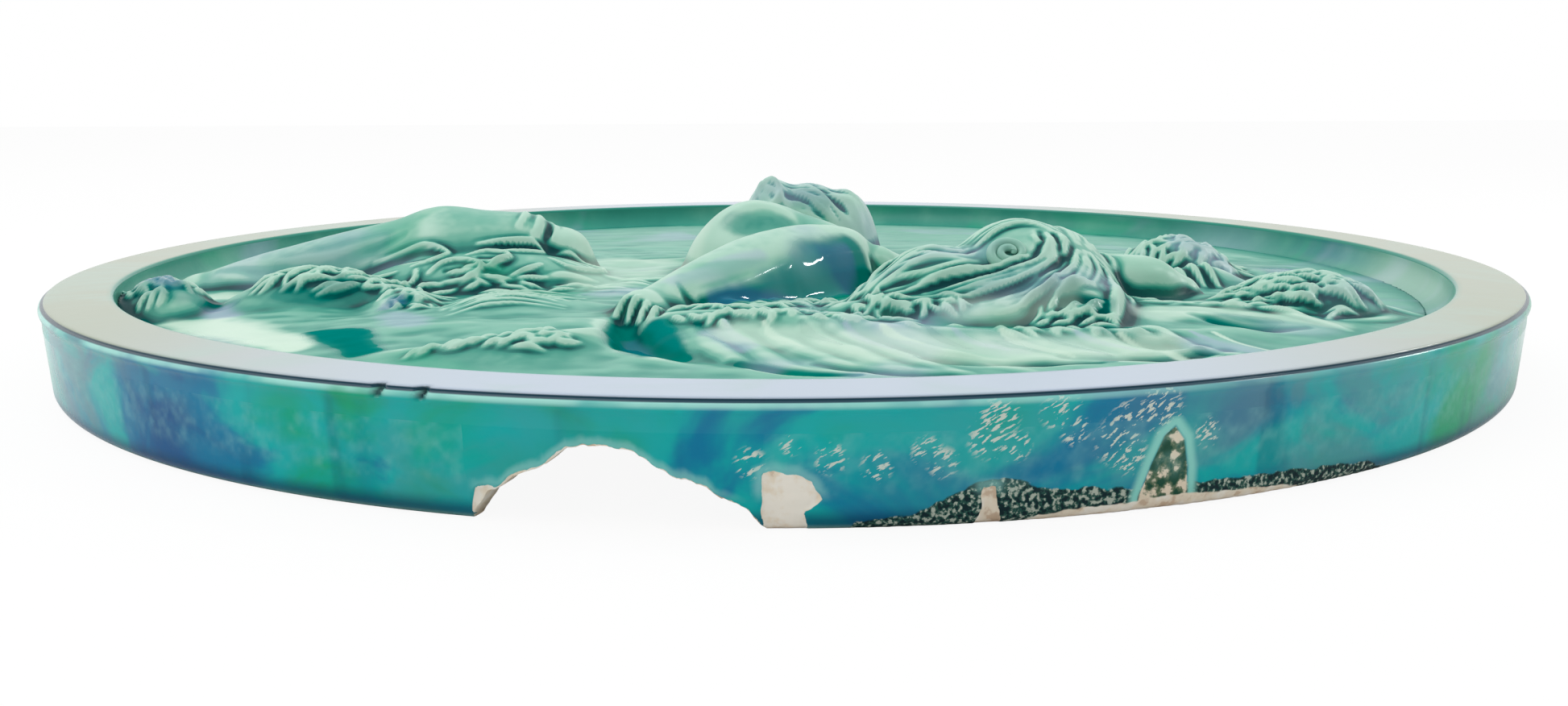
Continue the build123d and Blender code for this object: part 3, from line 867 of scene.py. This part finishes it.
# Upper edge of the crusty strip at the foot: bearing in degrees, height in mm
CRUST_EDGE = [(2.4, -3), (3.2, 2), (5.9, 3.4), (7.8, 7.4), (9.4, 10.1), (11.0, 10.4), (12.7, 7.4),
              (14.8, 7.3), (17.1, 6.1), (20.8, 5.8), (24.9, 5.6), (29.5, 4.8), (33.6, 3.6), (38, -3)]
# Upper edge of the bare clay along the foot
FOOT_EDGE = [(11, -2), (12.3, 1.9), (14.9, 2.5), (17.1, 2.9), (19.9, 3.5), (23, 3), (27, 2), (31, -2)]


def depth_inside(bearings, heights, outline):
    """Signed distance in mm from the edge of an outline on the wall, positive inside it."""
    to_mm = radians(1) * PLAQUE_RADIUS
    x, y = bearings * to_mm, heights
    nearest = np.full(np.broadcast(x, y).shape, 1e9)
    inside = np.zeros(nearest.shape, bool)
    points = [(b * to_mm, z) for b, z in outline]
    for (ax, ay), (bx, by) in zip(points, points[1:] + points[:1]):
        t = np.clip(((x - ax) * (bx - ax) + (y - ay) * (by - ay)) / ((bx - ax) ** 2 + (by - ay) ** 2), 0, 1)
        nearest = np.minimum(nearest, np.hypot(x - ax - t * (bx - ax), y - ay - t * (by - ay)))
        crosses = (ay > y) != (by > y)
        inside ^= crosses & (x < (bx - ax) * (y - ay) / (by - ay + 1e-12) + ax)
    return np.where(inside, nearest, -nearest)


def foot_height(bearings):
    """How far the wall's lower edge lies above the table at each bearing."""
    edge = np.array(ARCH_EDGE)
    height = np.interp(bearings, edge[:, 0], edge[:, 1], 0, 0)
    ragged = rough_noise(bearings * DEGREE_MM, np.zeros_like(bearings), 3.0, 71) * 0.8
    return np.where(height > 0.4, np.maximum(height + ragged, 0.2), 0)


def make_wall(glaze):
    bearings = ring_bearings(0.12, 0.8)
    wall, taper, outer_round, inner_round = 8.0, 1.2, 3.5, 1.5
    foot_radius = WALL_TOP_RADIUS - taper

    def section(outer, inner):
        rows = 34
        rise = RIM_UNDERSIDE - outer
        face = [(foot_radius + taper * k / rows, outer + rise * k / rows) for k in range(1, rows)]
        drop = RIM_UNDERSIDE - inner
        inside = [(WALL_TOP_RADIUS - wall - taper * k / 6, RIM_UNDERSIDE - drop * k / 6) for k in range(6)]
        return np.array(
            [(WALL_TOP_RADIUS, RIM_UNDERSIDE)]
            + inside
            + arc(foot_radius - wall + inner, inner, inner, 180, 270, 5)
            + arc(foot_radius - outer, outer, outer, 270, 360, 11)
            + face
        )

    lift = foot_height(bearings)[:, None]
    broken = smooth_step(0.3, 2.0, lift)
    rounded, sharp = section(outer_round, inner_round), section(0.4, 0.4)
    r = rounded[None, :, 0] * (1 - broken) + sharp[None, :, 0] * broken
    z = rounded[None, :, 1] * (1 - broken) + sharp[None, :, 1] * broken
    z = lift + z * (1 - lift / RIM_UNDERSIDE)
    turn = np.broadcast_to(bearings[:, None], r.shape)
    outer = smooth_step(foot_radius - 3.5, foot_radius - 2.0, r)
    bare = np.max([depth_inside(turn, z, outline) for outline in BARE_PATCHES], 0)
    bare = np.maximum(bare, 0.5 - np.abs(z - lift) * broken * 1.2 - 3 * (1 - broken))
    miss = depth_inside(turn, z, GLAZE_MISS)
    ragged = rough_noise(turn * DEGREE_MM, z, 2.4, 72, 3)
    bare = np.where(outer < 0.5, 2.0, bare + 0.7 * ragged)
    crust = np.interp(turn, *np.array(CRUST_EDGE).T, -3, -3) - z + 0.8 * ragged
    foot = np.interp(turn, *np.array(FOOT_EDGE).T, -3, -3) - z + 0.5 * ragged
    recess = smooth_step(-0.2, 0.4, bare) * outer + 0.5 * smooth_step(-0.3, 0.5, miss) * outer
    rough = outer * smooth_step(-0.3, 0.5, np.maximum(bare, crust))
    relief = 0.25 * rough_noise(turn * DEGREE_MM, z, 1.4, 73, 3) * rough
    r = r - GLAZE_DEPTH * recess + relief
    marks = {"bare": bare, "miss": miss, "crust": crust, "foot": foot, "scuff": scuffing(turn, z)}
    marks.update(tones(bearings, r.shape))
    piece = lathe("wall_glazed", bearings, r, z, marks)
    stand_in(piece, "wall_ring", glaze)


def make_slab(material):
    bearings = ring_bearings(1.0, 1.0)
    hole, top = 0.4, SLAB_TOP - 0.05
    corners = [(hole, top), (hole, SLAB_UNDERSIDE), (FIELD_RADIUS, SLAB_UNDERSIDE), (FIELD_RADIUS, top)]
    section = runs(corners, 4.0)
    r, z = turned(section, bearings)
    piece = lathe("slab_bare", bearings, r, z, {})
    stand_in(piece, "field_slab", material)


# ---------------------------------------------------------------- materials
class Nodes:
    """A material's node tree, with short calls to add and join nodes."""

    def __init__(self, name):
        self.material = bpy.data.materials.new(name)
        self.material.use_nodes = True
        self.tree = self.material.node_tree
        self.tree.nodes.clear()
        self.output = self.add("ShaderNodeOutputMaterial")
        self.shader = self.add("ShaderNodeBsdfPrincipled")
        self.join(self.shader.outputs[0], self.output.inputs["Surface"])
        self.place = self.add("ShaderNodeTexCoord").outputs["Object"]

    def add(self, kind, **settings):
        node = self.tree.nodes.new(kind)
        for key, value in settings.items():
            setattr(node, key, value)
        return node

    def join(self, source, target):
        self.tree.links.new(source, target)

    def noise(self, scale, detail=3.0, stretch=(1, 1, 1), distortion=0.0, shift=(0, 0, 0)):
        mapping = self.add("ShaderNodeMapping")
        mapping.inputs["Location"].default_value = shift
        return self.noise_over(mapping, stretch, scale, detail, distortion)

    def noise_over(self, mapping, stretch, scale, detail, distortion=0.0):
        mapping.inputs["Scale"].default_value = stretch
        self.join(self.place, mapping.inputs["Vector"])
        node = self.add("ShaderNodeTexNoise")
        node.inputs["Scale"].default_value = scale
        node.inputs["Detail"].default_value = detail
        node.inputs["Distortion"].default_value = distortion
        self.join(mapping.outputs[0], node.inputs["Vector"])
        return node.outputs["Fac"]

    def streaks(self, scale, detail, tilt, length):
        """Noise drawn out along a line tilted up to the right on the wall's front."""
        mapping = self.add("ShaderNodeMapping", vector_type="TEXTURE")
        mapping.inputs["Rotation"].default_value = (0, radians(-tilt), 0)
        return self.noise_over(mapping, length, scale, detail)

    def ramp(self, value, stops):
        node = self.add("ShaderNodeValToRGB")
        node.color_ramp.interpolation = "EASE"
        while len(node.color_ramp.elements) < len(stops):
            node.color_ramp.elements.new(0.5)
        for element, (position, colour) in zip(node.color_ramp.elements, stops):
            element.position = position
            element.color = colour if len(colour) == 4 else (*colour, 1)
        self.join(value, node.inputs["Fac"])
        return node.outputs["Color"]

    def mask(self, value, low, high):
        node = self.add("ShaderNodeMapRange", interpolation_type="SMOOTHSTEP")
        node.inputs["From Min"].default_value = low
        node.inputs["From Max"].default_value = high
        self.join(value, node.inputs["Value"])
        return node.outputs["Result"]

    def math(self, operation, a, b):
        node = self.add("ShaderNodeMath", operation=operation)
        for socket, value in zip(node.inputs, (a, b)):
            if isinstance(value, (int, float)):
                socket.default_value = value
            else:
                self.join(value, socket)
        return node.outputs[0]

    def mix(self, share, a, b, blend="MIX"):
        node = self.add("ShaderNodeMix", data_type="RGBA", blend_type=blend)
        for socket, value in ((node.inputs[0], share), (node.inputs[6], a), (node.inputs[7], b)):
            if isinstance(value, (int, float)):
                socket.default_value = value
            elif isinstance(value, tuple):
                socket.default_value = value if len(value) == 4 else (*value, 1)
            else:
                self.join(value, socket)
        return node.outputs[2]

    def coordinate(self, axis):
        """X, Y or Z of the place shaded, metres; Z is the height above the table."""
        split = self.add("ShaderNodeSeparateXYZ")
        self.join(self.place, split.inputs[0])
        return split.outputs[axis]

    def attribute(self, name):
        return self.add("ShaderNodeAttribute", attribute_name=name).outputs["Fac"]

    def bump(self, height, strength, distance):
        node = self.add("ShaderNodeBump")
        node.inputs["Strength"].default_value = strength
        node.inputs["Distance"].default_value = distance
        self.join(height, node.inputs["Height"])
        self.join(node.outputs[0], self.shader.inputs["Normal"])


THIN = (0.40, 0.64, 0.52)
MILKY = (0.14, 0.43, 0.325)
SEA_GREEN = (0.03, 0.28, 0.21)
POOLED = (0.0, 0.16, 0.13)
DEEPEST = (0.0, 0.05, 0.055)
PALE = (0.56, 0.74, 0.61)
VIOLET_GREY = (0.34, 0.42, 0.58)
TEAL = (0.0, 0.20, 0.18)
LUSTRE_BLUE = (0.0, 0.13, 0.28)
LUSTRE_GREEN = (0.0, 0.36, 0.20)
BISCUIT = (0.82, 0.70, 0.54)


def relief_glaze():
    """Milky green glaze that runs thin and pale on the heights and pools deep teal in the hollows."""
    m = Nodes("relief_glaze")
    mottle = m.math("MULTIPLY", m.math("SUBTRACT", m.noise(45, 4), 0.5), 0.22)
    pool = m.math("ADD", m.attribute("pool"), mottle)
    stops = [(0.0, THIN), (0.28, MILKY), (0.46, SEA_GREEN), (0.66, POOLED), (0.9, DEEPEST)]
    base = m.ramp(pool, stops)
    base = m.mix(m.attribute("teal"), base, m.ramp(pool, [(0.3, TEAL), (0.75, POOLED)]))
    base = m.mix(m.attribute("blue"), base, LUSTRE_BLUE)
    base = m.mix(m.attribute("violet"), base, VIOLET_GREY)
    clouds = m.mask(m.noise(15, 2, (1, 1.4, 1), 0.6), 0.56, 0.72)
    base = m.mix(m.math("MULTIPLY", clouds, 0.4), base, VIOLET_GREY)
    greens = m.mask(m.noise(17, 2, (1, 1.4, 1), 0.8, (3, 1, 0)), 0.56, 0.7)
    base = m.mix(m.math("MULTIPLY", greens, 0.4), base, LUSTRE_GREEN)
    base = m.mix(m.attribute("pale"), base, PALE)
    m.join(base, m.shader.inputs["Base Color"])
    glossy = m.math("MAXIMUM", m.attribute("blue"), m.attribute("teal"))
    m.join(m.math("SUBTRACT", 0.36, m.math("MULTIPLY", glossy, 0.26)), m.shader.inputs["Roughness"])
    m.shader.inputs["IOR"].default_value = 1.45
    m.join(m.math("MULTIPLY", m.attribute("blue"), 0.6), m.shader.inputs["Coat Weight"])
    m.shader.inputs["Coat Roughness"].default_value = 0.04
    level = m.math("SUBTRACT", 0.40, m.math("MULTIPLY", m.math("MINIMUM", pool, 1), 0.30))
    level = m.math("SUBTRACT", level, m.math("MULTIPLY", m.attribute("teal"), 0.40))
    m.join(m.math("MAXIMUM", level, 0.0), m.shader.inputs["Specular IOR Level"])
    m.bump(m.noise(260, 2), 0.12, 0.0006)
    return m.material


def outside_colour(m):
    """The clouded blue, turquoise and green of the outside, greyed to violet where the lustre took."""
    drift = m.math("MULTIPLY", m.math("SUBTRACT", m.noise(22, 4, (1, 1, 1.6), 0.8), 0.5), 1.1)
    tone = m.math("ADD", m.attribute("tone"), drift)
    blues = [(0.05, (0.0, 0.09, 0.26)), (0.28, (0.0, 0.19, 0.35))]
    base = m.ramp(tone, blues + [(0.48, (0.0, 0.42, 0.41)), (0.8, (0.0, 0.36, 0.17))])
    haze = m.mask(m.noise(30, 4, (1, 1, 1.4), 1.0, (4, 2, 1)), 0.40, 0.60)
    base = m.mix(m.math("MULTIPLY", haze, m.attribute("veil")), base, (0.12, 0.24, 0.30))
    streaks = m.mask(m.noise(60, 3, (1, 1, 0.12), 0.3, (2, 0, 0)), 0.58, 0.72)
    base = m.mix(m.math("MULTIPLY", streaks, 0.35), base, (0.0, 0.06, 0.14))
    scored = m.mask(m.streaks(1400, 3, 32, (4, 1, 1)), 0.55, 0.60)
    scuffed = m.mask(m.attribute("scuff"), -0.4, 0.3)
    return m.mix(m.math("MULTIPLY", scored, scuffed), base, (0.62, 0.68, 0.60))


def rim_glaze():
    """Pale glaze on the flat rim, a thin painted highlight (partly thin glaze) along the roll at its edge,
    painted shade in the groove above it and in the chips, and the outside's blue below.
    """
    m = Nodes("rim_glaze")
    height = m.coordinate("Z")
    base = outside_colour(m)
    # Painted highlight, partly thin glaze on the edge: a pale band along the roll under the rim's edge,
    # strongest at -X and fading towards +X.
    highlight_fade = m.math("ADD", m.math("MULTIPLY", m.mask(m.coordinate("X"), 0.16, -0.02), 0.6), 0.2)
    roll = m.math("MULTIPLY", m.mask(height, 0.0263, 0.0274), m.mask(m.noise(40, 3), 0.30, 0.55))
    base = m.mix(m.math("MULTIPLY", roll, highlight_fade), base, (0.42, 0.80, 0.72))
    # Painted shade: a near-black line in the groove between the roll and the rim's flat top.
    base = m.mix(m.mask(height, 0.0278, 0.0281), base, (0.01, 0.05, 0.08))
    ends = m.mask(m.math("ABSOLUTE", m.coordinate("X"), 0), 0.06, 0.2)
    flat = m.mix(ends, (0.42, 0.50, 0.60), (0.32, 0.37, 0.27))
    clouds = m.math("MULTIPLY", m.mask(m.noise(20, 4, (1, 1, 1), 0.8), 0.45, 0.7), 0.5)
    flat = m.mix(clouds, flat, (0.30, 0.47, 0.40))
    base = m.mix(m.mask(height, 0.02855, 0.02885), base, flat)
    base = m.mix(m.attribute("inner"), base, SEA_GREEN)
    # Painted shade: the two chips in the lip are coloured near-black.
    base = m.mix(m.attribute("nick"), base, (0.01, 0.04, 0.05))
    m.join(base, m.shader.inputs["Base Color"])
    m.shader.inputs["Roughness"].default_value = 0.2
    m.shader.inputs["IOR"].default_value = 1.5
    m.shader.inputs["Specular IOR Level"].default_value = 0.2
    m.bump(m.noise(90, 2), 0.1, 0.0006)
    return m.material


def wall_glaze():
    """The outside of the wall, with painted shade along its lower edge, the clay bared where it chipped and
    the crust along the foot.
    """
    m = Nodes("wall_glaze")
    height = m.coordinate("Z")
    base = outside_colour(m)
    # Painted shade: the glaze darkens to navy from 6 mm down to 2.2 mm, where the foot rounds under.
    low = m.math("SUBTRACT", 1, m.mask(height, 0.0022, 0.0060))
    base = m.mix(m.math("MULTIPLY", low, 0.75), base, (0.0, 0.05, 0.13))
    lowest = m.math("SUBTRACT", 1, m.mask(height, 0.0004, 0.0018))
    base = m.mix(m.math("MULTIPLY", lowest, 0.7), base, (0.22, 0.42, 0.38))
    grain = m.noise(900, 6)
    crust_colour = m.ramp(grain,
                          [(0.42, (0.003, 0.02, 0.025)), (0.52, (0.02, 0.09, 0.07)),
                           (0.62, (0.45, 0.50, 0.42))])
    base = m.mix(m.mask(m.attribute("crust"), -0.25, 0.25), base, crust_colour)
    halo = m.math("MULTIPLY", m.mask(m.attribute("miss"), -3.2, -1.2),
                  m.mask(m.attribute("miss"), 0.2, -0.6))
    base = m.mix(halo, base, (0.26, 0.66, 0.58))
    patchy = m.ramp(m.noise(330, 4),
                    [(0.42, (0.01, 0.07, 0.04)), (0.5, (0.10, 0.16, 0.09)), (0.58, BISCUIT)])
    base = m.mix(m.mask(m.attribute("miss"), -0.2, 0.3), base, patchy)
    glow = m.math("MULTIPLY", m.mask(m.attribute("bare"), -3.0, -0.6), m.mask(height, 0.006, 0.010))
    base = m.mix(m.math("MULTIPLY", glow, 0.55), base, (0.30, 0.66, 0.62))
    clay = m.ramp(m.noise(260, 5),
                  [(0.34, (0.66, 0.50, 0.36)), (0.44, (0.86, 0.75, 0.60)), (0.6, (0.93, 0.87, 0.77))])
    base = m.mix(m.mask(m.attribute("foot"), -0.2, 0.2), base, clay)
    bare = m.mask(m.attribute("bare"), -0.08, 0.08)
    base = m.mix(bare, base, clay)
    m.join(base, m.shader.inputs["Base Color"])
    dull = m.math("MAXIMUM", bare, m.math("MULTIPLY", m.mask(m.attribute("crust"), -0.25, 0.25), 0.5))
    m.join(m.math("ADD", m.math("MULTIPLY", dull, 0.7), 0.1), m.shader.inputs["Roughness"])
    m.shader.inputs["IOR"].default_value = 1.5
    m.shader.inputs["Specular IOR Level"].default_value = 0.12
    m.bump(m.noise(420, 3), 0.15, 0.0005)
    return m.material


def bare_clay():
    m = Nodes("bare_clay")
    base = m.ramp(m.noise(300, 4), [(0.3, (0.55, 0.42, 0.32)), (0.7, (0.72, 0.60, 0.48))])
    m.join(base, m.shader.inputs["Base Color"])
    m.shader.inputs["Roughness"].default_value = 0.85
    m.bump(m.noise(700, 3), 0.4, 0.0004)
    return m.material


# ---------------------------------------------------------------- the room
def white_when_seen(name):
    """A white ground that keeps a faint shadow of the object."""
    m = Nodes(name)
    m.shader.inputs["Base Color"].default_value = (0.9, 0.9, 0.9, 1)
    m.shader.inputs["Roughness"].default_value = 0.9
    glow = m.add("ShaderNodeEmission")
    glow.inputs["Strength"].default_value = 1.0
    mix = m.add("ShaderNodeMixShader")
    path = m.add("ShaderNodeLightPath")
    m.join(m.math("MULTIPLY", path.outputs["Is Camera Ray"], 0.93), mix.inputs["Fac"])
    m.join(m.shader.outputs[0], mix.inputs[1])
    m.join(glow.outputs[0], mix.inputs[2])
    m.join(mix.outputs[0], m.output.inputs["Surface"])
    return m.material


def make_floor():
    mesh = bpy.data.meshes.new("floor")
    reach = 3.0
    corners = [(-reach, -reach, 0), (reach, -reach, 0), (reach, reach, 0), (-reach, reach, 0)]
    mesh.from_pydata(corners, [], [(0, 1, 2, 3)])
    floor = bpy.data.objects.new("floor", mesh)
    bpy.context.scene.collection.objects.link(floor)
    mesh.materials.append(white_when_seen("floor_white"))


def make_world():
    world = bpy.data.worlds.new("studio")
    bpy.context.scene.world = world
    world.use_nodes = True
    tree = world.node_tree
    tree.nodes.clear()
    output = tree.nodes.new("ShaderNodeOutputWorld")
    ground = tree.nodes.new("ShaderNodeBackground")
    room = tree.nodes.new("ShaderNodeBackground")
    mix = tree.nodes.new("ShaderNodeMixShader")
    path = tree.nodes.new("ShaderNodeLightPath")
    place = tree.nodes.new("ShaderNodeTexCoord")
    split = tree.nodes.new("ShaderNodeSeparateXYZ")
    tree.links.new(place.outputs["Generated"], split.inputs[0])
    back = tree.nodes.new("ShaderNodeMapRange")
    back.inputs["From Min"].default_value = -0.7
    back.inputs["From Max"].default_value = 0.6
    back.inputs["To Min"].default_value = 0.45
    back.inputs["To Max"].default_value = 1.0
    tree.links.new(split.outputs["Y"], back.inputs["Value"])
    room.inputs["Color"].default_value = (1, 1, 1, 1)
    tree.links.new(back.outputs[0], room.inputs["Strength"])
    ground.inputs["Strength"].default_value = 1.0
    ground.inputs["Color"].default_value = (1, 1, 1, 1)
    tree.links.new(path.outputs["Is Camera Ray"], mix.inputs["Fac"])
    tree.links.new(room.outputs[0], mix.inputs[1])
    tree.links.new(ground.outputs[0], mix.inputs[2])
    tree.links.new(mix.outputs[0], output.inputs["Surface"])


def make_lamp(name, place, aim, width, depth, watts):
    light = bpy.data.lights.new(name, "AREA")
    light.shape = "RECTANGLE"
    light.size, light.size_y = width, depth
    light.energy = watts
    lamp = bpy.data.objects.new(name, light)
    lamp.location = place
    lamp.rotation_euler = (Vector(aim) - Vector(place)).to_track_quat("-Z", "Y").to_euler()
    bpy.context.scene.collection.objects.link(lamp)


def make_camera():
    camera = bpy.data.cameras.new("camera")
    camera.sensor_width = 36.0
    camera.lens = 32.4
    camera.clip_start = 0.01
    eye = bpy.data.objects.new("camera", camera)
    eye.location = (-0.0016, -0.5295, 0.0914)
    eye.rotation_euler = (radians(90 - 10.72), radians(0.24), radians(-0.2))
    bpy.context.scene.collection.objects.link(eye)
    bpy.context.scene.camera = eye


bpy.context.scene.view_settings.view_transform = "Standard"
make_camera()
make_world()
make_floor()
make_lamp("key", (-0.7, -0.2, 1.3), (0, 0, 0), 1.6, 1.2, 11)
make_lamp("glint_low", (1.0, 0.25, 0.56), (0, -0.07, 0.03), 0.14, 0.05, 1.4)
make_lamp("glint_high", (0.82, 0.09, 0.89), (0, -0.08, 0.03), 0.14, 0.05, 1.2)
glaze = relief_glaze()
make_relief(glaze)
make_curl(glaze)
make_rim(rim_glaze())
make_cove(glaze)
make_wall(wall_glaze())
make_slab(bare_clay())
